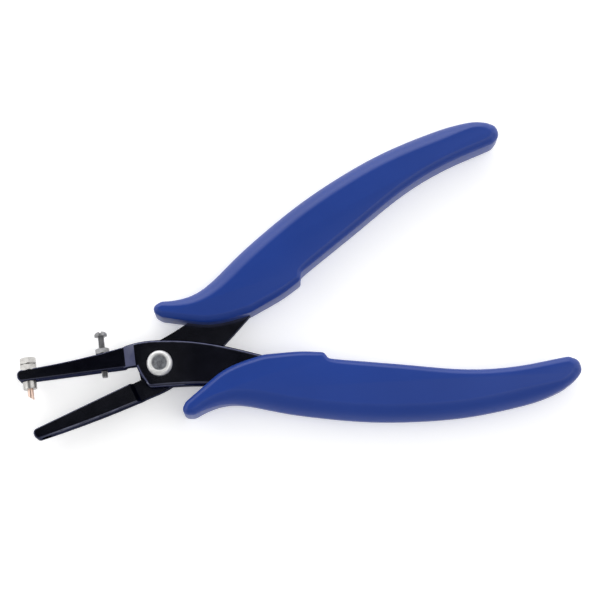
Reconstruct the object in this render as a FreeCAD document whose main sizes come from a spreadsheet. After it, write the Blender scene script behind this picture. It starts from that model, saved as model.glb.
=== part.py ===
"""Single-hole punch pliers: two lapped levers on a rivet, moulded grips, a replaceable
punch pin in the upper jaw and a small stop screw that keeps the work off the throat.

Frame: Z is the pivot axis, +X runs between the handles, -X between the jaws, and z = 0 is
the table that the closed tool lies on. Each lever is drawn in a frame of its own, with x
along its jaw's inner edge, y outward on the jaw's side and z = 0 at mid-thickness. The
back lever is the same forging turned over about x.
"""
import FreeCAD
import Part
import Sketcher
import math
import os
from FreeCAD import Placement, Rotation, Vector

# Driving dimensions: millimetres and degrees.
DIMENSIONS = {
    # pose of the levers
    "half_opening": 9.2,
    "mid_height": 5.5,
    # levers
    "jaw_thickness": 5.0,
    "plate_gap": 0.05,
    "plate_face": 3.6,
    "ramp_start": 10.2,
    "ramp_end": 7.1,
    "recess_start": 10.8,
    "recess_end": 9.6,
    "recess_lead": 0.3,
    "tang_thickness": 4.4,
    "jaw_edge_round": 0.45,
    "plate_edge_round": 0.9,
    # pivot
    "shank_radius": 2.5,
    "pivot_clearance": 0.03,
    "head_radius": 3.8,
    "head_height": 1.8,
    "head_ring_radius": 3.15,
    "tail_flat_radius": 3.0,
    "head_dish_radius": 2.3,
    "head_dish_slope": 0.3,
    "head_dish_depth": 0.45,
    "head_side": 0.7,
    "tail_clearance": 0.04,
    # return spring in its pocket
    "pocket_radius": 5.4,
    "pocket_depth": 1.2,
    "spring_radius": 4.4,
    "spring_wire": 0.35,
    "spring_pitch": 0.75,
    "spring_rise": 1.5,
    "leg_reach": 6.2,
    "slot_reach": 6.5,
    "slot_half_width": 0.42,
    "slot_overlap": 0.6,
    # grips
    "grip_thickness": 11.0,
    "palm_round": 2.4,
    # punch
    "punch_along": 39.2,
    "punch_radius": 0.9,
    "punch_reach": 3.3,
    "punch_bevel": 1.3,
    "punch_head_radius": 1.1,
    "punch_head_start": 1.45,
    "punch_head_top": 2.25,
    "slide_clearance": 0.03,
    "punch_seat": 3.6,
    "punch_seat_radius": 2.8,
    "jaw_inner": 0.4,
    "collar_radius": 2.05,
    "collar_height": 2.4,
    "stem_radius": 1.55,
    "stem_top": 5.0,
    "stem_bore": 1.14,
    "stem_bore_start": 1.4,
    "thread_clearance": 0.03,
    "lock_nut_flats": 4.7,
    "lock_nut_height": 1.9,
    "seat_gap": 0.02,
    "cap_flats": 4.7,
    "cap_bottom": 5.6,
    "cap_height": 1.9,
    # die in the lower jaw
    "die_radius": 1.05,
    "die_land": 1.2,
    "die_relief_radius": 1.5,
    "die_along": 39.3,
    # gauge screw
    "gauge_along": 16.75,
    "gauge_radius": 1.0,
    "gauge_stub": 1.85,
    "gauge_under_head": 11.1,
    "gauge_head_radius": 1.95,
    "gauge_head_height": 1.5,
    "gauge_slot_width": 0.5,
    "gauge_slot_depth": 0.7,
    "gauge_nut_flats": 4.0,
    "gauge_nut_height": 1.6,
    "gauge_seat": 5.75,
    "gauge_seat_radius": 2.5,
    "gauge_point_chamfer": 0.3,
    # cutting tools: longer than anything they go through
    "through": 20.0,
    "margin": 1.0,
}

# Jaw outlines in each lever's frame: the inner edge's height, the tip's end, and the
# start, middle and root of the outer edge.
FRONT_JAW = {
    "inner": DIMENSIONS["jaw_inner"],
    "tip": -42.5,
    "outer": [(-41.0, 3.8), (-28.0, 4.5), (-10.2, 6.65)],
}
BACK_JAW = {
    "inner": 1.35,
    "tip": -42.3,
    "outer": [(-40.9, 4.6), (-26.7, 6.2), (-10.2, 7.3)],
}

# Plate over the pivot and its neck: the edge that faces the other handle, then the edge
# on the palm side, and the shoulder between them that faces the jaws.
NECK_INNER = [(-6.7, 7.25), (-2.4, 7.4), (1.2, 7.1), (8.3, 6.0), (18.2, 3.2), (29.1, -1.1), (36.0, -4.0)]
NECK_PALM = [(36.0, -14.5), (24.0, -10.8), (10.9, -7.9), (4.1, -7.2), (-2.6, -6.8)]
SHOULDER_CORNER = [(-2.6, -6.8), (-4.1, -6.3), (-4.8, -5.1)]
SHOULDER = [(-4.8, -5.1), (-6.05, -2.6)]
THROAT_X = -7.1

# How far the jaw's end stays inside the plate's outline.
INSET = 0.5

# Tang inside the grip: a long taper.
TANG = [(30.0, -4.6), (57.0, -12.5), (82.0, -17.3), (106.0, -19.6),
        (106.0, -23.6), (82.0, -24.2), (57.0, -20.6), (30.0, -13.2)]

# Grip outline: over the neck, round the finger horn, down the palm, round the blunt end
# and back along the inner side to a small step.
GRIP_FRONT = [(31.0, -1.7), (23.4, -3.1), (17.7, -5.1), (12.4, -8.4), (6.3, -12.5)]
GRIP_HORN = [(6.3, -12.5), (5.2, -15.5), (8.4, -16.8)]
GRIP_PALM = [(8.4, -16.8), (12.0, -15.5), (17.5, -14.7), (24.0, -15.8), (38.0, -20.6), (57.0, -25.4),
             (74.0, -27.9), (90.0, -28.7), (107.0, -27.5), (116.5, -25.2), (121.8, -22.5)]
GRIP_END = [(121.8, -22.5), (123.9, -18.8), (120.6, -15.5)]
GRIP_INNER = [(120.6, -15.5), (104.0, -16.2), (89.0, -14.8), (69.0, -10.2), (49.8, -5.8)]
GRIP_STEP = [(49.8, -5.8), (48.6, -3.7)]
GRIP_BROW = [(48.6, -3.7), (41.6, -2.4), (31.0, -1.7)]

# Each handle leans a little from the shared outline: its sideways drift for each mm
# beyond the plate, counted positive towards the other handle.
HANDLE_LEAN = {"front": 0.0117, "back": -0.0144}
LEAN_START = 10.0

# The levers' travel in degrees, from the open rest pose to the collar on the lower jaw.
TRAVEL = 17.3

PARTS_FOLDER = "parts"

doc = FreeCAD.newDocument("hole_punch_pliers")
sheet = doc.addObject("Spreadsheet::Sheet", "Sizes")


def fill_sheet():
    """Write every driving dimension to the sheet as a plain number with an alias."""
    for number, (alias, value) in enumerate(DIMENSIONS.items(), start=1):
        sheet.set(f"A{number}", alias)
        sheet.set(f"B{number}", str(value))
        sheet.setAlias(f"B{number}", alias)
    doc.recompute()


def size(alias):
    """One driving dimension, read back from the sheet."""
    return float(sheet.get(alias))


# ---------------------------------------------------------------- drawing helpers
def origin_plane(body, role):
    return next(item for item in body.Origin.OriginFeatures if item.Role == role)


def new_sketch(body, name, role="XY_Plane", lift=None):
    """A sketch flat on one of the body's own origin planes, lifted by an expression."""
    sketch = body.newObject("Sketcher::SketchObject", name)
    sketch.AttachmentSupport = [(origin_plane(body, role), "")]
    sketch.MapMode = "FlatFace"
    if lift:
        sketch.setExpression("AttachmentOffset.Base.z", lift)
    return sketch


def hold(sketch, kind, geometry, point, expression):
    """Tie one coordinate of a sketch point to a sheet expression."""
    value = sketch.evalExpression(expression)
    if abs(value) < 1e-9:
        axis = -2 if kind == "DistanceX" else -1
        sketch.addConstraint(Sketcher.Constraint("PointOnObject", geometry, point, axis))
        return
    number = sketch.addConstraint(Sketcher.Constraint(kind, -1, 1, geometry, point, value))
    sketch.setExpression(f"Constraints[{number}]", expression)


def add_polygon(sketch, corners):
    """A closed outline whose corners are pairs of sheet expressions."""
    spots = [Vector(sketch.evalExpression(x), sketch.evalExpression(y), 0) for x, y in corners]
    count = len(spots)
    for number in range(count):
        sketch.addGeometry(Part.LineSegment(spots[number], spots[(number + 1) % count]), False)
    for number in range(count):
        sketch.addConstraint(Sketcher.Constraint("Coincident", number, 2, (number + 1) % count, 1))
    for number, (x, y) in enumerate(corners):
        hold(sketch, "DistanceX", number, 1, x)
        hold(sketch, "DistanceY", number, 1, y)


def add_circle(sketch, radius, x="0", y="0"):
    """A circle whose radius and centre are sheet expressions."""
    centre = Vector(sketch.evalExpression(x), sketch.evalExpression(y), 0)
    value = sketch.evalExpression(radius)
    ring = sketch.addGeometry(Part.Circle(centre, Vector(0, 0, 1), value), False)
    number = sketch.addConstraint(Sketcher.Constraint("Radius", ring, value))
    sketch.setExpression(f"Constraints[{number}]", radius)
    hold(sketch, "DistanceX", ring, 3, x)
    hold(sketch, "DistanceY", ring, 3, y)


def add_run(sketch, kind, points):
    """One run of an outline: straight lines, an arc by three points or a smooth curve."""
    spots = [Vector(x, y, 0) for x, y in points]
    if kind == "arc":
        sketch.addGeometry(Part.Arc(*spots), False)
    elif kind == "curve":
        curve = Part.BSplineCurve()
        curve.interpolate(spots)
        sketch.addGeometry(curve, False)
    else:
        for start, end in zip(spots, spots[1:]):
            sketch.addGeometry(Part.LineSegment(start, end), False)


def pad(body, name, sketch, length, both_ways=False):
    feature = body.newObject("PartDesign::Pad", name)
    feature.Profile = sketch
    feature.setExpression("Length", length)
    feature.SideType = "Symmetric" if both_ways else "One side"
    doc.recompute()
    return feature


def pocket(body, name, sketch, length, both_ways=False, upward=False):
    """A pocket that has to remove something, or the build stops."""
    before = body.Shape.Volume
    feature = body.newObject("PartDesign::Pocket", name)
    feature.Profile = sketch
    feature.setExpression("Length", length)
    feature.SideType = "Symmetric" if both_ways else "One side"
    feature.Reversed = upward
    doc.recompute()
    if body.Shape.Volume > before - 1e-6:
        raise RuntimeError(f"{body.Label}: {name} removes nothing")
    return feature


def revolve(body, name, corners):
    """A turned piece about its own Z, from a half profile of (radius, height) expressions."""
    sketch = new_sketch(body, f"{name}_profile", "XZ_Plane")
    add_polygon(sketch, corners)
    feature = body.newObject("PartDesign::Revolution", name)
    feature.Profile = sketch
    feature.ReferenceAxis = (sketch, ["V_Axis"])
    feature.Angle = 360
    doc.recompute()
    return feature


def hexagon(sketch, flats):
    """A regular hexagon across flats, centred, with corners given by expressions."""
    corners = []
    for corner in range(6):
        angle = 60 * corner + 30
        radius = f"{flats} / 2 / cos(30)"
        corners.append((f"{radius} * cos({angle})", f"{radius} * sin({angle})"))
    add_polygon(sketch, corners)


def round_edges(body, name, edges, radius):
    """A fillet on chosen edges of the body's tip."""
    base = body.Tip
    feature = body.newObject("PartDesign::Fillet", name)
    feature.Base = (base, edges)
    feature.setExpression("Radius", radius)
    doc.recompute()
    return feature


def edges_where(shape, test):
    """Names of the edges whose sampled points all pass the test."""
    names = []
    for number, edge in enumerate(shape.Edges, start=1):
        spots = [edge.valueAt(u) for u in (edge.FirstParameter, edge.LastParameter)]
        spots.append(edge.valueAt((edge.FirstParameter + edge.LastParameter) / 2))
        if all(test(spot) for spot in spots):
            names.append(f"Edge{number}")
    return names


# ---------------------------------------------------------------- places
def lever_place(side):
    """Where a lever's frame lies: the back lever is turned over about x."""
    height = Vector(0, 0, size("mid_height"))
    if side == "front":
        return Placement(height, Rotation(Vector(0, 0, 1), -size("half_opening")))
    turn = Rotation(Vector(0, 0, 1), size("half_opening"))
    return Placement(height, turn.multiply(Rotation(Vector(1, 0, 0), 180)))


def upright_place(along, height):
    """A piece whose own Z stands outward from the front jaw's edge, at a height over y = 0."""
    stand = Placement(Vector(-along, height, 0), Rotation(Vector(1, 0, 0), -90))
    return lever_place("front").multiply(stand)


def leaned(points, side):
    """Outline points of a handle, drifted sideways with that handle's lean."""
    return [(x, y + HANDLE_LEAN[side] * max(0.0, x - LEAN_START)) for x, y in points]


def new_body(label, place):
    body = doc.addObject("PartDesign::Body", label)
    body.Label = label
    body.Placement = place
    return body


# ---------------------------------------------------------------- levers
def neck_outline(sketch, side, jaw):
    """The plate over the pivot with its neck, from the jaw's root into the grip."""
    root = jaw["outer"][-1]
    corner = (THROAT_X, jaw["inner"])
    inner_edge = leaned([root] + NECK_INNER, side)
    palm_edge = leaned(NECK_PALM, side)
    add_run(sketch, "line", [(root[0], jaw["inner"]), root])
    add_run(sketch, "curve", inner_edge)
    add_run(sketch, "line", [inner_edge[-1], palm_edge[0]])
    add_run(sketch, "curve", palm_edge)
    add_run(sketch, "arc", SHOULDER_CORNER)
    add_run(sketch, "arc", SHOULDER + [corner])
    add_run(sketch, "line", [corner, (root[0], jaw["inner"])])


def jaw_outline(sketch, jaw):
    """The tapered jaw with its two tip corners rounded, back to just inside the plate."""
    tip, inner = jaw["tip"], jaw["inner"]
    start, root = jaw["outer"][0], jaw["outer"][-1]
    corner = start[0] - tip
    cut = corner * (1 - math.cos(math.radians(45)))
    lower = (start[0], inner)
    end = THROAT_X + INSET
    add_run(sketch, "arc", [lower, (tip + cut, inner + cut), (tip, inner + corner)])
    add_run(sketch, "line", [(tip, inner + corner), (tip, start[1] - corner)])
    add_run(sketch, "arc", [(tip, start[1] - corner), (tip + cut, start[1] - cut), start])
    add_run(sketch, "arc", jaw["outer"])
    add_run(sketch, "line", [root, (end, root[1] - INSET), (end, inner + INSET),
                             (-size("ramp_start"), inner), lower])


def near(value, target):
    return abs(value - target) < 0.01


def plate_crest(shape):
    """The plate's outer rim, without the ramp's edge and the end inside the grip."""
    crest = edges_where(shape, lambda spot: near(spot.z, size("plate_face")))
    ramp_edge = edges_where(shape, lambda spot: near(spot.x, -size("ramp_end")))
    hidden_end = edges_where(shape, lambda spot: near(spot.x, NECK_INNER[-1][0]))
    return [name for name in crest if name not in ramp_edge + hidden_end]


def jaw_crest(shape):
    """The rims of the jaw's two faces, without the ends inside the plate."""
    half = size("jaw_thickness") / 2
    ramp_start = -size("ramp_start")
    rims = edges_where(shape, lambda spot: near(abs(spot.z), half) and spot.x < ramp_start + INSET)
    ends = edges_where(shape, lambda spot: near(spot.x, ramp_start))
    return [name for name in rims if name not in ends]


def lever(label, side, jaw):
    """One lever: jaw, half-lapped plate over the pivot, neck and the tang in the grip."""
    body = new_body(label, lever_place(side))
    half = "Sizes.jaw_thickness / 2"

    plate = new_sketch(body, f"{label}_plate_outline", lift="Sizes.plate_gap")
    neck_outline(plate, side, jaw)
    pad(body, f"{label}_plate", plate, "Sizes.plate_face - Sizes.plate_gap")

    ramp = new_sketch(body, f"{label}_ramp_profile", "XZ_Plane")
    top = "Sizes.plate_face + Sizes.margin"
    beyond = "-Sizes.ramp_start - Sizes.margin"
    add_polygon(ramp, [(beyond, half), ("-Sizes.ramp_start", half), ("-Sizes.ramp_end", "Sizes.plate_face"),
                       ("-Sizes.ramp_end", top), (beyond, top)])
    pocket(body, f"{label}_ramp", ramp, "Sizes.through", both_ways=True)
    crest = plate_crest(body.Tip.Shape)
    round_edges(body, f"{label}_plate_rounds", crest, "Sizes.plate_edge_round")

    bar = new_sketch(body, f"{label}_jaw_outline")
    jaw_outline(bar, jaw)
    pad(body, f"{label}_jaw", bar, "Sizes.jaw_thickness", both_ways=True)
    round_edges(body, f"{label}_jaw_rounds", jaw_crest(body.Tip.Shape), "Sizes.jaw_edge_round")

    recess = new_sketch(body, f"{label}_recess_profile", "XZ_Plane")
    below = f"-{half} - Sizes.margin"
    add_polygon(recess, [("-Sizes.recess_start - Sizes.recess_lead", below),
                         ("-Sizes.recess_start", f"-{half}"),
                         ("-Sizes.recess_end", "Sizes.plate_gap"), ("0", "Sizes.plate_gap"), ("0", below)])
    pocket(body, f"{label}_recess", recess, "Sizes.through", both_ways=True)

    tang = new_sketch(body, f"{label}_tang_outline")
    add_run(tang, "line", leaned(TANG + TANG[:1], side))
    pad(body, f"{label}_tang", tang, "Sizes.tang_thickness", both_ways=True)

    pivot = new_sketch(body, f"{label}_pivot_circle")
    fit = "Sizes.shank_radius" if side == "front" else "Sizes.shank_radius + Sizes.pivot_clearance"
    add_circle(pivot, fit)
    pocket(body, f"{label}_pivot_hole", pivot, "Sizes.through", both_ways=True)

    well = new_sketch(body, f"{label}_well_circle", lift="Sizes.plate_gap + Sizes.pocket_depth")
    add_circle(well, "Sizes.pocket_radius")
    pocket(body, f"{label}_well", well, "Sizes.pocket_depth")
    return body


def spring_slot(body, name, start, sweep):
    """A slot outward from the spring's well for one leg, spread over an angle of travel."""
    sketch = new_sketch(body, name, lift="Sizes.plate_gap + Sizes.pocket_depth")
    inside = size("pocket_radius") - size("slot_overlap")
    outside = size("slot_reach")
    margin = math.degrees(math.asin(size("slot_half_width") / outside))

    def spot(radius, angle):
        turn = math.radians(angle)
        return (radius * math.cos(turn), radius * math.sin(turn))
    first = start - margin
    last = start + sweep + margin
    middle = (first + last) / 2
    add_run(sketch, "arc", [spot(outside, first), spot(outside, middle), spot(outside, last)])
    add_run(sketch, "line", [spot(outside, last), spot(inside, last)])
    add_run(sketch, "arc", [spot(inside, last), spot(inside, middle), spot(inside, first)])
    add_run(sketch, "line", [spot(inside, first), spot(outside, first)])
    pocket(body, f"{name}_cut", sketch, "Sizes.pocket_depth")


def cross_hole(body, name, along, radius, start="0"):
    """A hole across the jaw along y: everything outward of a starting height."""
    sketch = new_sketch(body, name, "XZ_Plane", lift=f"-({start})")
    add_circle(sketch, radius, f"-{along}")
    pocket(body, f"{name}_cut", sketch, "Sizes.through")


def front_lever():
    """The lever with the upper jaw, which holds the punch and the gauge screw."""
    body = lever("front_lever", "front", FRONT_JAW)
    spring_slot(body, "front_leg_slot", size("half_opening"), 0)
    cross_hole(body, "punch_hole", "Sizes.punch_along", "Sizes.stem_radius")
    cross_hole(body, "gauge_hole", "Sizes.gauge_along", "Sizes.gauge_radius + Sizes.thread_clearance")
    cross_hole(body, "gauge_seat", "Sizes.gauge_along", "Sizes.gauge_seat_radius", "Sizes.gauge_seat")
    cross_hole(body, "punch_seat", "Sizes.punch_along", "Sizes.punch_seat_radius", "Sizes.punch_seat")
    return body


def back_lever():
    """The lever with the lower jaw, whose tip is the die."""
    body = lever("back_lever", "back", BACK_JAW)
    spring_slot(body, "back_leg_slot", size("half_opening") - TRAVEL, TRAVEL)
    relief_start = f"{BACK_JAW['inner']} + Sizes.die_land"
    cross_hole(body, "die_hole", "Sizes.die_along", "Sizes.die_radius")
    cross_hole(body, "die_relief", "Sizes.die_along", "Sizes.die_relief_radius", relief_start)
    return body


# ---------------------------------------------------------------- grips
def grip(label, side, jaw):
    """A moulded grip with the sockets that the neck and tang fill."""
    body = new_body(label, lever_place(side))
    outline = new_sketch(body, f"{label}_outline")
    runs = [("curve", GRIP_FRONT), ("arc", GRIP_HORN), ("curve", GRIP_PALM), ("arc", GRIP_END),
            ("curve", GRIP_INNER), ("line", GRIP_STEP), ("curve", GRIP_BROW)]
    for kind, points in runs:
        add_run(outline, kind, leaned(points, side))
    pad(body, f"{label}_block", outline, "Sizes.grip_thickness", both_ways=True)

    palm_runs = [leaned(points, side) for points in (GRIP_FRONT, GRIP_HORN, GRIP_PALM, GRIP_END)]
    palm = rim_edges(body.Tip.Shape, palm_runs, size("grip_thickness") / 2)
    round_edges(body, f"{label}_palm_rounds", palm, "Sizes.palm_round")

    neck = new_sketch(body, f"{label}_neck_socket", lift="Sizes.plate_gap")
    neck_outline(neck, side, jaw)
    pocket(body, f"{label}_neck_cut", neck, "Sizes.plate_face - Sizes.plate_gap", upward=True)
    socket = new_sketch(body, f"{label}_tang_socket")
    add_run(socket, "line", leaned(TANG + TANG[:1], side))
    pocket(body, f"{label}_tang_cut", socket, "Sizes.tang_thickness", both_ways=True)
    return body


def rim_edges(shape, runs, height):
    """Names of the edges on the faces at +-height that follow the given outline runs."""
    names = []
    for number, edge in enumerate(shape.Edges, start=1):
        ends = [vertex.Point for vertex in edge.Vertexes]
        if any(abs(abs(end.z) - height) > 0.01 for end in ends):
            continue
        for run in runs:
            targets = (run[0], run[-1])
            gaps = [min(math.dist((end.x, end.y), target) for target in targets) for end in ends]
            if max(gaps) < 0.01:
                names.append(f"Edge{number}")
    return names


# ---------------------------------------------------------------- pivot
def pivot_rivet():
    """The rivet that holds the levers: dished head in front, flat tail on the table side."""
    body = new_body("pivot_rivet", Placement(Vector(0, 0, size("mid_height")), Rotation()))
    top = "Sizes.plate_face + Sizes.head_height"
    bottom = "-Sizes.mid_height"
    under = "-Sizes.plate_face - Sizes.tail_clearance"
    dish = f"{top} - Sizes.head_dish_depth"
    revolve(body, "rivet", [
        ("0", bottom), ("Sizes.tail_flat_radius", bottom),
        ("Sizes.head_radius", f"{bottom} + Sizes.head_side"), ("Sizes.head_radius", under),
        ("Sizes.shank_radius", under), ("Sizes.shank_radius", "Sizes.plate_face"),
        ("Sizes.head_radius", "Sizes.plate_face"),
        ("Sizes.head_radius", f"{top} - Sizes.head_side"), ("Sizes.head_ring_radius", top),
        ("Sizes.head_dish_radius + Sizes.head_dish_slope", top), ("Sizes.head_dish_radius", dish),
        ("0", dish)])
    return body


def return_spring():
    """The torsion spring round the rivet, two turns with a leg outward at each end."""
    helix = doc.addObject("Part::Helix", "spring_path")
    helix.setExpression("Pitch", "Sizes.spring_pitch")
    helix.setExpression("Height", "Sizes.spring_rise")
    helix.setExpression("Radius", "Sizes.spring_radius")
    wire = doc.addObject("Part::Circle", "spring_section")
    wire.setExpression("Radius", "Sizes.spring_wire")
    wire.Placement = Placement(Vector(size("spring_radius"), 0, 0), Rotation(Vector(1, 0, 0), 90))
    coil = doc.addObject("Part::Sweep", "spring_coil")
    coil.Sections = [wire]
    coil.Spine = (helix, ["Edge1"])
    coil.Solid = True
    coil.Frenet = True
    legs = []
    for name, height in (("back_leg", 0.0), ("front_leg", size("spring_rise"))):
        leg = doc.addObject("Part::Cylinder", name)
        leg.setExpression("Radius", "Sizes.spring_wire")
        leg.setExpression("Height", "Sizes.leg_reach - Sizes.spring_radius")
        leg.Placement = Placement(Vector(size("spring_radius"), 0, height), Rotation(Vector(0, 1, 0), 90))
        legs.append(leg)
    spring = doc.addObject("Part::MultiFuse", "return_spring")
    spring.Label = "return_spring"
    spring.Shapes = [coil] + legs
    low = Placement(Vector(0, 0, -size("spring_rise") / 2), Rotation(Vector(0, 0, 1), size("half_opening")))
    spring.Placement = lever_place("front").multiply(low)
    doc.recompute()
    return spring


# ---------------------------------------------------------------- punch in the upper jaw
def punch_sleeve():
    """The collar under the jaw with its threaded stem through it, bored for the pin."""
    body = new_body("punch_sleeve", upright_place(size("punch_along"), 0))
    low = "Sizes.jaw_inner - Sizes.collar_height"
    bore = "Sizes.punch_radius + Sizes.slide_clearance"
    revolve(body, "sleeve", [
        (bore, low), ("Sizes.collar_radius", low), ("Sizes.collar_radius", "Sizes.jaw_inner"),
        ("Sizes.stem_radius", "Sizes.jaw_inner"), ("Sizes.stem_radius", "Sizes.stem_top"),
        ("Sizes.stem_bore", "Sizes.stem_top"), ("Sizes.stem_bore", "Sizes.stem_bore_start"),
        (bore, "Sizes.stem_bore_start")])
    return body


def hex_nut(label, along, base, flats, height, bore):
    """A hexagon nut standing on the jaw, with its thread's hole."""
    body = new_body(label, upright_place(along, 0))
    sketch = new_sketch(body, f"{label}_hexagon", lift=base)
    hexagon(sketch, flats)
    add_circle(sketch, bore)
    pad(body, f"{label}_block", sketch, height)
    return body


def punch_cap_screw():
    """The hexagon cap screw whose shank bears on the pin's head."""
    body = new_body("punch_cap_screw", upright_place(size("punch_along"), 0))
    sketch = new_sketch(body, "cap_hexagon", lift="Sizes.cap_bottom")
    hexagon(sketch, "Sizes.cap_flats")
    pad(body, "cap_block", sketch, "Sizes.cap_height")
    foot = "Sizes.punch_head_top + Sizes.seat_gap"
    shank = new_sketch(body, "cap_shank_circle", lift=foot)
    add_circle(shank, "Sizes.stem_bore - Sizes.thread_clearance")
    pad(body, "cap_shank", shank, f"Sizes.cap_bottom - ({foot})")
    return body


def punch_pin():
    """The punch: a headed pin whose end is ground to a slant, long side to the pivot."""
    body = new_body("punch_pin", upright_place(size("punch_along"), 0))
    tip = "Sizes.jaw_inner - Sizes.collar_height - Sizes.punch_reach"
    revolve(body, "pin", [
        ("0", tip), ("Sizes.punch_radius", tip), ("Sizes.punch_radius", "Sizes.punch_head_start"),
        ("Sizes.punch_head_radius", "Sizes.punch_head_start"),
        ("Sizes.punch_head_radius", "Sizes.punch_head_top"), ("0", "Sizes.punch_head_top")])
    slant = new_sketch(body, "slant", "XZ_Plane")
    below = f"{tip} - Sizes.margin"
    rise = f"{tip} + Sizes.punch_bevel"
    add_polygon(slant, [("-2 * Sizes.punch_radius", below), ("Sizes.punch_radius", below),
                        ("Sizes.punch_radius", tip), ("-Sizes.punch_radius", rise),
                        ("-2 * Sizes.punch_radius", rise)])
    pocket(body, "slant_cut", slant, "Sizes.through", both_ways=True)
    return body


# ---------------------------------------------------------------- gauge screw
def gauge_screw():
    """The small pan-head screw whose end stops the work under the upper jaw."""
    body = new_body("gauge_screw", upright_place(size("gauge_along"), 0))
    end = "Sizes.jaw_inner - Sizes.gauge_stub"
    under = "Sizes.gauge_under_head"
    top = f"{under} + Sizes.gauge_head_height"
    revolve(body, "screw", [
        ("0", end), ("Sizes.gauge_radius - Sizes.gauge_point_chamfer", end),
        ("Sizes.gauge_radius", f"{end} + Sizes.gauge_point_chamfer"),
        ("Sizes.gauge_radius", under), ("Sizes.gauge_head_radius", under),
        ("Sizes.gauge_head_radius", f"{under} + 0.45 * Sizes.gauge_head_height"),
        ("0.75 * Sizes.gauge_head_radius", f"{under} + 0.85 * Sizes.gauge_head_height"),
        ("0.4 * Sizes.gauge_head_radius", top), ("0", top)])
    slot = new_sketch(body, "driver_slot", "XZ_Plane")
    half = "Sizes.gauge_slot_width / 2"
    floor = f"{top} - Sizes.gauge_slot_depth"
    above = f"{top} + Sizes.margin"
    add_polygon(slot, [(f"-{half}", floor), (half, floor), (half, above), (f"-{half}", above)])
    pocket(body, "driver_slot_cut", slot, "Sizes.through", both_ways=True)
    return body


def check_and_write(pieces):
    """Stop on any failed feature or shape, then write one file for each piece."""
    for item in doc.Objects:
        if "Invalid" in item.State or "Error" in item.State:
            raise RuntimeError(f"{item.Label} failed: {item.State}")
    os.makedirs(PARTS_FOLDER, exist_ok=True)
    for piece in pieces:
        shape = piece.Shape
        if shape.isNull() or not shape.isValid() or shape.Volume <= 0:
            raise RuntimeError(f"{piece.Label} has no valid solid")
        print(f"{piece.Label}: {len(shape.Solids)} solid, {shape.Volume:.1f} mm3")
        shape.exportStep(os.path.join(PARTS_FOLDER, f"{piece.Label}.step"))


def main():
    fill_sheet()
    pieces = [front_lever(), back_lever()]
    pieces += [grip("lower_grip", "front", FRONT_JAW), grip("upper_grip", "back", BACK_JAW)]
    pieces += [pivot_rivet(), return_spring(), punch_sleeve(), punch_pin(), punch_cap_screw()]
    pieces.append(hex_nut("punch_lock_nut", size("punch_along"), "Sizes.punch_seat + Sizes.seat_gap",
                          "Sizes.lock_nut_flats", "Sizes.lock_nut_height",
                          "Sizes.stem_radius + Sizes.thread_clearance"))
    pieces.append(gauge_screw())
    pieces.append(hex_nut("gauge_nut", size("gauge_along"), "Sizes.gauge_seat + Sizes.seat_gap",
                          "Sizes.gauge_nut_flats", "Sizes.gauge_nut_height",
                          "Sizes.gauge_radius + Sizes.thread_clearance"))
    doc.recompute()
    check_and_write(pieces)


main()
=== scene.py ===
"""Single-hole punch pliers lying on a pale table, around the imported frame.

Every place is in metres in the row frame. Pieces that stand on a lever are drawn in that
lever's own frame in millimetres: x along its jaw's inner edge, y outward on the jaw's side
and z = 0 at mid-thickness; the back lever's frame is turned over about x.
"""
import math
import bpy
import bmesh
from mathutils import Matrix, Vector, noise


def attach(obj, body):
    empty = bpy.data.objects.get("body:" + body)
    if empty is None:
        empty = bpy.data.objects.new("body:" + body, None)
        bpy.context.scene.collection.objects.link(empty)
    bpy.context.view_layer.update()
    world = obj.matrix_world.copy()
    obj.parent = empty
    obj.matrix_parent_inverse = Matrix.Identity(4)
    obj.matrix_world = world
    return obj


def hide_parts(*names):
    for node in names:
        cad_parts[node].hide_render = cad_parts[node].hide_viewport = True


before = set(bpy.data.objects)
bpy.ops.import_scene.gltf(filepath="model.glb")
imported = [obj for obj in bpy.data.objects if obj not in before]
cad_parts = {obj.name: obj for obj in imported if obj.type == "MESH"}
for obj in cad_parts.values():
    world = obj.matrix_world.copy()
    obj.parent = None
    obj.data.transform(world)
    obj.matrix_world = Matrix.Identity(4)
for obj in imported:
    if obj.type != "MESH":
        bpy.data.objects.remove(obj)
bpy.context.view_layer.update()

MM = 0.001
TAU = 2 * math.pi
HALF_OPENING = math.radians(9.2)
MID_HEIGHT = 5.5

# Places along the front jaw, from the pivot.
PUNCH_ALONG = 39.2
GAUGE_ALONG = 16.75

# Lever frames, as matrices from millimetres in the lever to metres in the row.
LIFT = Matrix.Translation((0, 0, MID_HEIGHT * MM)) @ Matrix.Scale(MM, 4)
FRONT = LIFT @ Matrix.Rotation(-HALF_OPENING, 4, "Z")
BACK = LIFT @ Matrix.Rotation(HALF_OPENING, 4, "Z") @ Matrix.Rotation(math.pi, 4, "X")


def upright(along):
    """A frame whose z stands outward from the front jaw's edge, at a place along the jaw."""
    return FRONT @ Matrix.Translation((-along, 0, 0)) @ Matrix.Rotation(-math.pi / 2, 4, "X")


# ---------------------------------------------------------------- mesh helpers
def finish_piece(name, mesh, place, body, node, material, smooth_angle=35):
    """Puts a mesh in the scene as a piece that stands for a CAD node."""
    mesh.transform(place)
    mesh.update()
    piece = bpy.data.objects.new(name, mesh)
    bpy.context.collection.objects.link(piece)
    mesh.materials.append(material)
    for polygon in mesh.polygons:
        polygon.use_smooth = True
    mesh.set_sharp_from_angle(angle=math.radians(smooth_angle))
    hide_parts(node)
    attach(piece, body)


def mesh_from(bm, name):
    """A mesh from the bmesh, which is freed."""
    bmesh.ops.recalc_face_normals(bm, faces=bm.faces)
    mesh = bpy.data.meshes.new(name)
    bm.to_mesh(mesh)
    bm.free()
    return mesh


def ring_of(bm, points):
    return [bm.verts.new(point) for point in points]


def bridge(bm, low, high):
    """Quads between two closed rings with the same count."""
    count = len(low)
    for number in range(count):
        following = (number + 1) % count
        bm.faces.new((low[number], low[following], high[following], high[number]))


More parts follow.
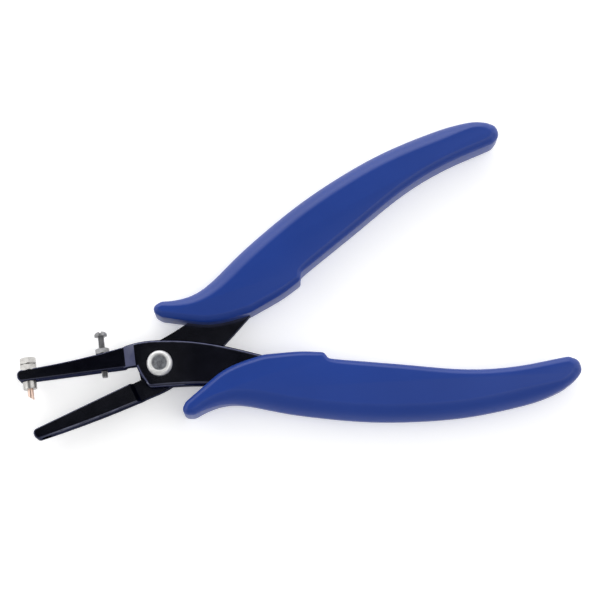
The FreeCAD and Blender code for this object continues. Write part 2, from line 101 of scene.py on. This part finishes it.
def stack_rings(bm, rings, closed=False):
    made = [ring_of(bm, ring) for ring in rings]
    for low, high in zip(made, made[1:]):
        bridge(bm, low, high)
    if closed:
        bridge(bm, made[-1], made[0])
    return made


def carve(mesh, low, high):
    """The mesh with a straight-sided box cut out of it."""
    bm = bmesh.new()
    bmesh.ops.create_cube(bm, size=1.0)
    spread = [top - bottom for bottom, top in zip(low, high)]
    bmesh.ops.scale(bm, vec=spread, verts=bm.verts)
    middle = [(bottom + top) / 2 for bottom, top in zip(low, high)]
    bmesh.ops.translate(bm, vec=middle, verts=bm.verts)
    target = bpy.data.objects.new("carve_target", mesh)
    cutter = bpy.data.objects.new("carve_cutter", mesh_from(bm, "carve_cutter"))
    for item in (target, cutter):
        bpy.context.collection.objects.link(item)
    cut = target.modifiers.new("cut", "BOOLEAN")
    cut.operation = "DIFFERENCE"
    cut.solver = "EXACT"
    cut.object = cutter
    state = bpy.context.evaluated_depsgraph_get()
    result = bpy.data.meshes.new_from_object(target.evaluated_get(state))
    for item in (target, cutter):
        bpy.data.objects.remove(item)
    return result


def lathe(profile, steps=96, wobble=None):
    """A turned solid from a half profile of (radius, height) that starts and ends on the axis."""
    bm = bmesh.new()
    rings = []
    for radius, height in profile[1:-1]:
        points = []
        for step in range(steps):
            angle = TAU * step / steps
            spot = Vector((radius * math.cos(angle), radius * math.sin(angle), height))
            points.append(wobble(spot) if wobble else spot)
        rings.append(points)
    made = stack_rings(bm, rings)
    for ends, ring in ((profile[0], made[0]), (profile[-1], made[-1])):
        tip = Vector((0, 0, ends[1]))
        centre = bm.verts.new(wobble(tip) if wobble else tip)
        for number, vertex in enumerate(ring):
            bm.faces.new((vertex, ring[(number + 1) % steps], centre))
    return bm


def rounded(profile, radius, parts=4):
    """A profile whose inner corners are replaced by short arcs."""
    result = [profile[0]]
    for before, corner, after in zip(profile, profile[1:], profile[2:]):
        here = Vector(corner)
        to_before = Vector(before) - here
        to_after = Vector(after) - here
        reach = min(radius, 0.45 * to_before.length, 0.45 * to_after.length)
        start = here + to_before.normalized() * reach
        end = here + to_after.normalized() * reach
        for part in range(parts + 1):
            t = part / parts
            spot = start * (1 - t) ** 2 + here * 2 * t * (1 - t) + end * t ** 2
            result.append((spot.x, spot.y))
    result.append(profile[-1])
    return result


# ---------------------------------------------------------------- materials
def new_material(name):
    material = bpy.data.materials.new(name)
    material.use_nodes = True
    return material, material.node_tree.nodes, material.node_tree.links, \
        material.node_tree.nodes["Principled BSDF"]


def add_noise(nodes, links, scale, detail=4.0, roughness=0.55):
    where = nodes.new("ShaderNodeTexCoord")
    texture = nodes.new("ShaderNodeTexNoise")
    texture.inputs["Scale"].default_value = scale
    texture.inputs["Detail"].default_value = detail
    texture.inputs["Roughness"].default_value = roughness
    links.new(where.outputs["Object"], texture.inputs["Vector"])
    return texture.outputs["Fac"]


def add_ramp(nodes, links, value, stops):
    """A colour ramp fed by a value: stops are (place, colour)."""
    ramp = nodes.new("ShaderNodeValToRGB")
    while len(ramp.color_ramp.elements) < len(stops):
        ramp.color_ramp.elements.new(0.5)
    for element, (place, colour) in zip(ramp.color_ramp.elements, stops):
        element.position = place
        element.color = (*colour, 1)
    links.new(value, ramp.inputs["Fac"])
    return ramp.outputs["Color"]


def add_range(nodes, links, value, low, high, start=0.0, stop=1.0):
    convert = nodes.new("ShaderNodeMapRange")
    convert.inputs["From Min"].default_value = start
    convert.inputs["From Max"].default_value = stop
    convert.inputs["To Min"].default_value = low
    convert.inputs["To Max"].default_value = high
    links.new(value, convert.inputs["Value"])
    return convert.outputs["Result"]


def add_bump(nodes, links, shader, height, strength, distance):
    bump = nodes.new("ShaderNodeBump")
    bump.inputs["Strength"].default_value = strength
    bump.inputs["Distance"].default_value = distance
    links.new(height, bump.inputs["Height"])
    links.new(bump.outputs["Normal"], shader.inputs["Normal"])


def add_mix(nodes, links, factor, first, second):
    """A colour mix; either side may be a socket or a fixed colour."""
    blend = nodes.new("ShaderNodeMix")
    blend.data_type = "RGBA"
    links.new(factor, blend.inputs["Factor"])
    for side, colour in (("A", first), ("B", second)):
        if isinstance(colour, tuple):
            blend.inputs[side].default_value = (*colour, 1)
        else:
            links.new(colour, blend.inputs[side])
    return blend.outputs["Result"]


def steel_black():
    """Black oxide on forged steel: near-black navy, satin, and paler along sharp edges as a painted edge
    highlight.
    """
    material, nodes, links, shader = new_material("black_steel")
    mottle = add_noise(nodes, links, 240.0)
    base = add_ramp(nodes, links, mottle,
                    [(0.3, (0.038, 0.041, 0.074)), (0.75, (0.055, 0.059, 0.100))])
    shape = nodes.new("ShaderNodeNewGeometry")
    # Pointiness picks out the sharp convex edges, and mixing them towards pale grey paints an edge
    # highlight on them.
    edge = add_range(nodes, links, shape.outputs["Pointiness"], 0.0, 0.8, 0.51, 0.58)
    links.new(add_mix(nodes, links, edge, base, (0.13, 0.135, 0.17)), shader.inputs["Base Color"])
    shader.inputs["Metallic"].default_value = 1.0
    shader.inputs["Specular Tint"].default_value = (0.16, 0.17, 0.21, 1)
    links.new(add_range(nodes, links, mottle, 0.17, 0.24), shader.inputs["Roughness"])
    add_bump(nodes, links, shader, add_noise(nodes, links, 1400.0, 3.0), 0.08, 0.0002)
    return material


def grip_blue():
    """Moulded vinyl: deep blue, satin, with a very fine pebble and slow colour drift."""
    material, nodes, links, shader = new_material("blue_grip")
    drift = add_noise(nodes, links, 28.0, 3.0)
    colour = add_ramp(nodes, links, drift,
                      [(0.25, (0.0085, 0.036, 0.220)), (0.75, (0.0115, 0.044, 0.260))])
    links.new(colour, shader.inputs["Base Color"])
    gloss = add_noise(nodes, links, 900.0, 2.0)
    links.new(add_range(nodes, links, gloss, 0.34, 0.42), shader.inputs["Roughness"])
    shader.inputs["Specular IOR Level"].default_value = 0.32
    add_bump(nodes, links, shader, add_noise(nodes, links, 2600.0, 2.0), 0.10, 0.0001)
    return material


def bright_metal(name, dark, light, low, high, grain=420.0):
    """Plated or turned metal with fine scuffs and a slight tone drift."""
    material, nodes, links, shader = new_material(name)
    scuff = add_noise(nodes, links, grain, 5.0, 0.65)
    links.new(add_ramp(nodes, links, scuff, [(0.3, dark), (0.7, light)]), shader.inputs["Base Color"])
    shader.inputs["Metallic"].default_value = 0.85
    links.new(add_range(nodes, links, scuff, low, high), shader.inputs["Roughness"])
    add_bump(nodes, links, shader, add_noise(nodes, links, 2200.0, 3.0), 0.15, 0.0001)
    return material


def rivet_steel():
    """Bright turned steel, darker and pitted inside the head's dish."""
    material, nodes, links, shader = new_material("rivet_steel")
    where = nodes.new("ShaderNodeTexCoord")
    flat = nodes.new("ShaderNodeVectorMath")
    flat.operation = "MULTIPLY"
    flat.inputs[1].default_value = (1, 1, 0)
    links.new(where.outputs["Object"], flat.inputs[0])
    reach = nodes.new("ShaderNodeVectorMath")
    reach.operation = "LENGTH"
    links.new(flat.outputs["Vector"], reach.inputs[0])
    ring = add_range(nodes, links, reach.outputs["Value"], 0.0, 1.0, 0.0021, 0.0026)
    pits = add_noise(nodes, links, 1100.0, 4.0, 0.7)
    dish = add_ramp(nodes, links, pits, [(0.35, (0.07, 0.075, 0.085)), (0.65, (0.24, 0.25, 0.27))])
    scuff = add_noise(nodes, links, 600.0, 5.0, 0.65)
    bright = add_ramp(nodes, links, scuff, [(0.3, (0.60, 0.60, 0.60)), (0.7, (0.84, 0.84, 0.83))])
    links.new(add_mix(nodes, links, ring, dish, bright), shader.inputs["Base Color"])
    shader.inputs["Metallic"].default_value = 0.55
    links.new(add_range(nodes, links, scuff, 0.34, 0.50), shader.inputs["Roughness"])
    add_bump(nodes, links, shader, pits, 0.35, 0.0002)
    return material


BLACK = steel_black()
BLUE = grip_blue()
NICKEL = bright_metal("nickel_plate", (0.30, 0.29, 0.28), (0.56, 0.55, 0.53), 0.20, 0.36)
DULL_NICKEL = bright_metal("dull_nickel_plate", (0.15, 0.15, 0.155), (0.33, 0.33, 0.34), 0.26, 0.42)
RIVET = rivet_steel()
COPPER = bright_metal("punch_steel", (0.55, 0.36, 0.28), (0.80, 0.62, 0.53), 0.24, 0.38)
SPRING = bright_metal("spring_steel", (0.22, 0.22, 0.23), (0.42, 0.42, 0.43), 0.25, 0.40)


# ---------------------------------------------------------------- levers and spring, as in the CAD
def dress(node, material):
    """Gives a CAD node one material, and shades its level faces as level."""
    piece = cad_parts[node]
    piece.data.materials.clear()
    piece.data.materials.append(material)
    for polygon in piece.data.polygons:
        polygon.material_index = 0
    flatten_faces(piece.data)


def flatten_faces(mesh):
    """Shades the level faces as truly level, so that no bent normal shows as a smudge."""
    normals = [corner.vector.copy() for corner in mesh.corner_normals]
    for polygon in mesh.polygons:
        if abs(polygon.normal.z) > 0.9999:
            for corner in polygon.loop_indices:
                normals[corner] = polygon.normal.copy()
    mesh.normals_split_custom_set(normals)


dress("front_lever", BLACK)
dress("back_lever", BLACK)
dress("return_spring", SPRING)


# ---------------------------------------------------------------- grips
GRIP_HALF = 5.5
GRIP_INSET = 0.12
GRIP_FRONT = [(31.0, -1.7), (23.4, -3.1), (17.7, -5.1), (12.4, -8.4), (6.3, -12.5)]
GRIP_HORN = [(6.3, -12.5), (5.15, -14.6), (5.9, -16.3), (8.4, -16.8)]
GRIP_PALM = [(8.4, -16.8), (12.0, -15.5), (17.5, -14.7), (24.0, -15.8), (38.0, -20.6), (57.0, -25.4),
             (74.0, -27.9), (90.0, -28.7), (107.0, -27.5), (116.5, -25.2), (121.8, -22.5)]
GRIP_END = [(121.8, -22.5), (123.7, -20.2), (123.2, -17.1), (120.6, -15.5)]
GRIP_INNER = [(120.6, -15.5), (104.0, -16.2), (89.0, -14.8), (69.0, -10.2), (49.8, -5.8)]
GRIP_STEP = [(49.8, -5.8), (48.6, -3.7)]
GRIP_BROW = [(48.6, -3.7), (41.6, -2.4), (31.0, -1.7)]

# Each handle leans a little from the shared outline: its sideways drift for each mm
# beyond the plate, counted positive towards the other handle.
FRONT_LEAN = 0.0117
BACK_LEAN = -0.0144
LEAN_START = 10.0

# Power that turns the edge's quarter circle into a flatter bevel with a soft crease.
CREASE = 1.35

# Each run of the outline with the edge rounding at its start and end.
GRIP_RUNS = [(GRIP_FRONT, 2.0, 1.7, 44), (GRIP_HORN, 1.5, 1.6, 18), (GRIP_PALM, 1.7, 1.7, 110),
             (GRIP_END, 3.0, 2.2, 20), (GRIP_INNER, 2.0, 1.8, 80), (GRIP_STEP, 1.0, 1.0, 5),
             (GRIP_BROW, 1.6, 2.0, 20)]


def smooth_points(points, count):
    """Evenly spaced samples of a smooth curve through the points (centripetal spline)."""
    path = [Vector((x, y)) for x, y in points]
    if len(path) == 2:
        return [path[0].lerp(path[1], step / count) for step in range(count)]
    path = [path[0] * 2 - path[1]] + path + [path[-1] * 2 - path[-2]]
    dense = []
    for before, start, end, after in zip(path, path[1:], path[2:], path[3:]):
        for step in range(24):
            t = step / 24
            dense.append(0.5 * (2 * start + (end - before) * t
                                + (2 * before - 5 * start + 4 * end - after) * t * t
                                + (3 * start - before - 3 * end + after) * t ** 3))
    dense.append(path[-2])
    lengths = [0.0]
    for first, second in zip(dense, dense[1:]):
        lengths.append(lengths[-1] + (second - first).length)
    result = []
    place = 0
    for step in range(count):
        target = lengths[-1] * step / count
        while lengths[place + 1] < target:
            place += 1
        share = (target - lengths[place]) / max(lengths[place + 1] - lengths[place], 1e-9)
        result.append(dense[place].lerp(dense[place + 1], share))
    return result


def palm_radius(along):
    """How round the palm side is: full along the handle, less at the horn and the end."""
    grow = min(1.0, max(0.0, (along - 9.0) / 22.0))
    fade = min(1.0, max(0.0, (121.0 - along) / 16.0))
    return 1.7 + 3.1 * math.sin(grow * math.pi / 2) * math.sin(fade * math.pi / 2)


def grip_outline():
    """Points of the outline, each with its edge rounding."""
    spots = []
    radii = []
    for points, first, last, count in GRIP_RUNS:
        samples = smooth_points(points, count)
        for number, spot in enumerate(samples):
            spots.append(spot)
            radius = first + (last - first) * number / count
            if points is GRIP_PALM:
                radius = palm_radius(spot.x)
            radii.append(radius)
    return spots, radii


def even_out(values, rounds):
    """Smooths a closed list of numbers or vectors."""
    for _ in range(rounds):
        values = [(values[number - 1] + values[number] * 2 + values[(number + 1) % len(values)]) / 4
                  for number in range(len(values))]
    return values


def grip_mesh(name, lean):
    """The outline swept to both faces, with creased quarter-round edges."""
    spots, radii = grip_outline()
    spots = [Vector((spot.x, spot.y + lean * max(0.0, spot.x - LEAN_START)))
             for spot in even_out(spots, 1)]
    radii = even_out(radii, 10)
    count = len(spots)
    inward = []
    for number in range(count):
        along = spots[(number + 1) % count] - spots[number - 1]
        inward.append(Vector((-along.y, along.x)).normalized())
    inward = even_out(inward, 3)
    turns = sum(spots[n].x * spots[(n + 1) % count].y - spots[(n + 1) % count].x * spots[n].y
                for n in range(count))
    if turns < 0:
        inward = [-way for way in inward]

    steps = 12
    half_rings = []
    for step in range(steps + 1):
        angle = math.pi / 2 * step / steps
        ring = []
        for spot, radius, way in zip(spots, radii, inward):
            inset = radius * (1 - math.cos(angle) ** CREASE)
            height = GRIP_HALF - GRIP_INSET - radius * (1 - math.sin(angle) ** CREASE)
            place = spot + way.normalized() * inset
            ring.append(Vector((place.x, place.y, height)))
        half_rings.append(ring)
    bm = bmesh.new()
    low = [[Vector((p.x, p.y, -p.z)) for p in ring] for ring in reversed(half_rings)]
    rings = stack_rings(bm, low + half_rings)
    for ring in (rings[0], rings[-1]):
        bm.faces.new(ring)
    return mesh_from(bm, name)


def make_grip(node, place, body, lean):
    mesh = grip_mesh(node + "_shell", lean)
    finish_piece(node + "_shell", mesh, place, body, node, BLUE, 50)


make_grip("lower_grip", FRONT, "front_lever", FRONT_LEAN)
make_grip("upper_grip", BACK, "back_lever", BACK_LEAN)


# ---------------------------------------------------------------- rivet
def make_rivet():
    top = 5.4
    profile = rounded([(0, -5.5), (3.0, -5.5), (3.75, -4.8), (3.8, -3.64), (2.5, -3.64), (2.5, 3.6),
                       (3.7, 3.6), (3.8, 3.85), (3.75, 4.6), (3.3, 5.2), (2.9, top), (2.5, top - 0.04),
                       (2.3, top - 0.42), (0, top - 0.36)], 0.3)

    def dimpled(spot):
        radius = math.hypot(spot.x, spot.y)
        if spot.z > 4.5 and radius < 2.3:
            spot.z += 0.10 * noise.noise(spot * 1.6) * (1 - radius / 2.4)
        return spot
    mesh = mesh_from(lathe(profile, 128, dimpled), "pivot_rivet_head")
    finish_piece("pivot_rivet_turned", mesh, LIFT, "front_lever", "pivot_rivet",
                 RIVET)


make_rivet()


# ---------------------------------------------------------------- hexagon pieces
def hexagon_radius(angle, flats):
    step = math.pi / 3
    return flats / 2 / math.cos((angle + step / 2) % step - step / 2)


def hex_rings(flats, bottom, top, turned, steps=72, bite=0.97):
    """Rings of a hexagon prism with both rims chamfered by a 30 degree cone."""
    low, high, low_rim, high_rim = [], [], [], []
    rim = flats / 2 * bite
    for step in range(steps):
        angle = TAU * step / steps
        reach = hexagon_radius(angle - turned, flats)
        drop = (reach - rim) * math.tan(math.radians(30))
        way = Vector((math.cos(angle), math.sin(angle), 0))
        low_rim.append(way * rim + Vector((0, 0, bottom)))
        low.append(way * reach + Vector((0, 0, bottom + drop)))
        high.append(way * reach + Vector((0, 0, top - drop)))
        high_rim.append(way * rim + Vector((0, 0, top)))
    return [low_rim, low, high, high_rim]


def circle_ring(radius, height, steps=72):
    return [Vector((radius * math.cos(TAU * s / steps), radius * math.sin(TAU * s / steps), height))
            for s in range(steps)]


def hex_nut(name, flats, bottom, top, bore, turned):
    """A hexagon nut with a plain bore and chamfered mouths."""
    bm = bmesh.new()
    rings = hex_rings(flats, bottom, top, turned)
    rings += [circle_ring(bore + 0.18, top), circle_ring(bore, top - 0.18),
              circle_ring(bore, bottom + 0.18), circle_ring(bore + 0.18, bottom)]
    stack_rings(bm, rings, closed=True)
    return mesh_from(bm, name)


HEX_TURN = math.radians(10)
PUNCH_FLATS = 4.7


def make_lock_nut():
    mesh = hex_nut("punch_lock_nut_hex", PUNCH_FLATS, 3.62, 5.52, 1.58, HEX_TURN)
    finish_piece("punch_lock_nut_hex", mesh, upright(PUNCH_ALONG), "punch_lock_nut", "punch_lock_nut",
                 NICKEL, 25)


def make_cap_screw():
    bm = bmesh.new()
    rings = [circle_ring(0.9, 2.27), circle_ring(1.11, 2.45), circle_ring(1.11, 5.6)]
    rings += hex_rings(PUNCH_FLATS, 5.6, 7.5, HEX_TURN)
    made = stack_rings(bm, rings)
    bm.faces.new(made[0])
    bm.faces.new(made[-1])
    mesh = mesh_from(bm, "punch_cap_screw_hex")
    finish_piece("punch_cap_screw_hex", mesh, upright(PUNCH_ALONG), "punch_cap_screw", "punch_cap_screw",
                 NICKEL, 25)


def make_gauge_nut():
    mesh = hex_nut("gauge_nut_hex", 4.0, 5.77, 7.37, 1.03, 0.0)
    finish_piece("gauge_nut_hex", mesh, upright(GAUGE_ALONG), "gauge_nut", "gauge_nut",
                 DULL_NICKEL, 25)


make_lock_nut()
make_cap_screw()
make_gauge_nut()


# ---------------------------------------------------------------- sleeve and pin
def make_sleeve():
    bm = bmesh.new()
    profile = [(0.93, -1.9), (1.05, -2.0), (1.9, -2.0), (2.05, -1.85), (2.05, 0.3), (1.95, 0.4),
               (1.55, 0.4), (1.55, 4.9), (1.45, 5.0), (1.2, 5.0), (1.14, 4.95), (1.14, 1.4), (0.93, 1.4)]
    stack_rings(bm, [circle_ring(radius, height, 96) for radius, height in profile], closed=True)
    mesh = mesh_from(bm, "punch_sleeve_turned")
    finish_piece("punch_sleeve_turned", mesh, upright(PUNCH_ALONG), "front_lever", "punch_sleeve",
                 NICKEL)


def make_pin():
    """The pin: a round shank whose end is ground to a slant, with a head inside the sleeve."""
    steps = 64
    radius = 0.9
    tip = -5.3
    bevel = 1.3
    slant, shank = [], []
    for step in range(steps):
        angle = TAU * step / steps
        x, y = radius * math.cos(angle), radius * math.sin(angle)
        slant.append(Vector((x, y, tip + bevel * (radius - x) / (2 * radius))))
        shank.append(Vector((x, y, 1.45)))
    bm = bmesh.new()
    made = stack_rings(bm, [slant, shank, circle_ring(1.1, 1.45, steps),
                            circle_ring(1.1, 2.25, steps)])
    bm.faces.new(made[0])
    bm.faces.new(made[-1])
    mesh = mesh_from(bm, "punch_pin_ground")
    finish_piece("punch_pin_ground", mesh, upright(PUNCH_ALONG), "punch_pin", "punch_pin",
                 COPPER)


make_sleeve()
make_pin()


# ---------------------------------------------------------------- gauge screw
def make_gauge_screw():
    """M2 pan-head screw: a true helical thread, a domed head and a driver slot."""
    steps = 32
    pitch = 0.4
    root = 0.78
    crest = 1.0
    low, high = -1.45, 11.0
    per_turn = 6
    rows = int((high - low) / pitch * per_turn)
    rings = []
    for row in range(rows + 1):
        height = low + (high - low) * row / rows
        ring = []
        for step in range(steps):
            angle = TAU * step / steps
            phase = (height / pitch - step / steps) % 1.0
            rise = max(0.0, 1 - abs(phase - 0.5) * 2.3)
            start = min(1.0, max(0.0, (height - low) / 0.4))
            radius = root + (crest - root) * rise * start
            ring.append(Vector((radius * math.cos(angle), radius * math.sin(angle), height)))
        rings.append(ring)
    head = rounded([(0.95, 11.0), (1.0, 11.1), (1.9, 11.1), (1.95, 11.35), (1.9, 11.9), (1.35, 12.45),
                    (0.6, 12.6)], 0.18, 3)
    rings += [circle_ring(radius, height, steps) for radius, height in head]
    bm = bmesh.new()
    made = stack_rings(bm, rings)
    bm.faces.new(made[0])
    bm.faces.new(made[-1])
    mesh = carve(mesh_from(bm, "gauge_screw_threaded"), (-0.25, -3.0, 11.9), (0.25, 3.0, 14.0))
    finish_piece("gauge_screw_threaded", mesh, upright(GAUGE_ALONG), "gauge_screw", "gauge_screw",
                 DULL_NICKEL, 40)


make_gauge_screw()


# ---------------------------------------------------------------- floor, light and camera
# The dark card overhead and the dimmer near side, as directions from the tool.
CARD_WAY = Vector((-0.097, 0.410, 1.0)).normalized()
NEAR_WAY = Vector((-0.29, -0.957, 0.0)).normalized()


def make_floor():
    bm = bmesh.new()
    bmesh.ops.create_grid(bm, x_segments=1, y_segments=1, size=2.0)
    mesh = mesh_from(bm, "floor")
    floor = bpy.data.objects.new("floor", mesh)
    floor.location = (0.04, 0, -0.0002)
    bpy.context.collection.objects.link(floor)
    material, _, _, shader = new_material("floor")
    shader.inputs["Base Color"].default_value = (0.92, 0.92, 0.92, 1)
    shader.inputs["Roughness"].default_value = 0.9
    shader.inputs["Emission Color"].default_value = (1, 1, 1, 1)
    shader.inputs["Emission Strength"].default_value = 0.30
    mesh.materials.append(material)


def make_light(name, spot, aim, width, height, power):
    lamp = bpy.data.lights.new(name, "AREA")
    lamp.shape = "RECTANGLE"
    lamp.size = width
    lamp.size_y = height
    lamp.energy = power
    light = bpy.data.objects.new(name, lamp)
    light.location = spot
    light.rotation_euler = (Vector(aim) - Vector(spot)).to_track_quat("-Z", "Y").to_euler()
    bpy.context.collection.objects.link(light)


def add_dot(nodes, links, vector, way):
    product = nodes.new("ShaderNodeVectorMath")
    product.operation = "DOT_PRODUCT"
    product.inputs[1].default_value = way
    links.new(vector, product.inputs[0])
    return product.outputs["Value"]


def make_world():
    """A light tent: white all round, dimmer on the near side, with a dark card overhead."""
    world = bpy.data.worlds.new("studio")
    world.use_nodes = True
    nodes, links = world.node_tree.nodes, world.node_tree.links
    background = nodes["Background"]
    background.inputs["Color"].default_value = (1, 1, 1, 1)
    where = nodes.new("ShaderNodeTexCoord").outputs["Generated"]
    card = add_range(nodes, links, add_dot(nodes, links, where, CARD_WAY), 1.45, 0.01,
                     math.cos(math.radians(36)), math.cos(math.radians(17)))
    side = add_range(nodes, links, add_dot(nodes, links, where, NEAR_WAY), 1.0, 0.30, -0.1, 0.6)
    glow = nodes.new("ShaderNodeMath")
    glow.operation = "MULTIPLY"
    links.new(card, glow.inputs[0])
    links.new(side, glow.inputs[1])
    links.new(glow.outputs["Value"], background.inputs["Strength"])
    bpy.context.scene.world = world


def make_camera():
    """Looks down on the tool, leaning back so that its near side faces show a little."""
    right = Vector((0.9566, -0.2915, 0))
    ahead = Vector((0.2915, 0.9566, 0))
    lean = math.radians(13)
    distance = 0.507
    aim = Vector((0.04565, 0.0071, MID_HEIGHT * MM))
    back = Vector((0, 0, 1)) * math.cos(lean) - ahead * math.sin(lean)
    up = Vector((0, 0, 1)) * math.sin(lean) + ahead * math.cos(lean)
    lens = bpy.data.cameras.new("camera")
    lens.sensor_width = 36
    lens.lens = 101
    camera = bpy.data.objects.new("camera", lens)
    turn = Matrix((right, up, back)).transposed().to_4x4()
    camera.matrix_world = Matrix.Translation(aim + back * distance) @ turn
    bpy.context.collection.objects.link(camera)
    bpy.context.scene.camera = camera


make_floor()
make_world()
make_light("left_key", (-0.50, 0.05, 0.42), (0.04, 0, 0), 0.9, 0.45, 0.8)
make_light("near_right", (0.36, -0.28, 0.50), (0.08, -0.02, 0), 0.40, 0.40, 0.5)
make_light("far_rim", (0.12, 0.75, 0.24), (0.05, 0.02, 0), 0.80, 0.40, 2.0)
make_camera()
bpy.context.scene.view_settings.view_transform = "Standard"
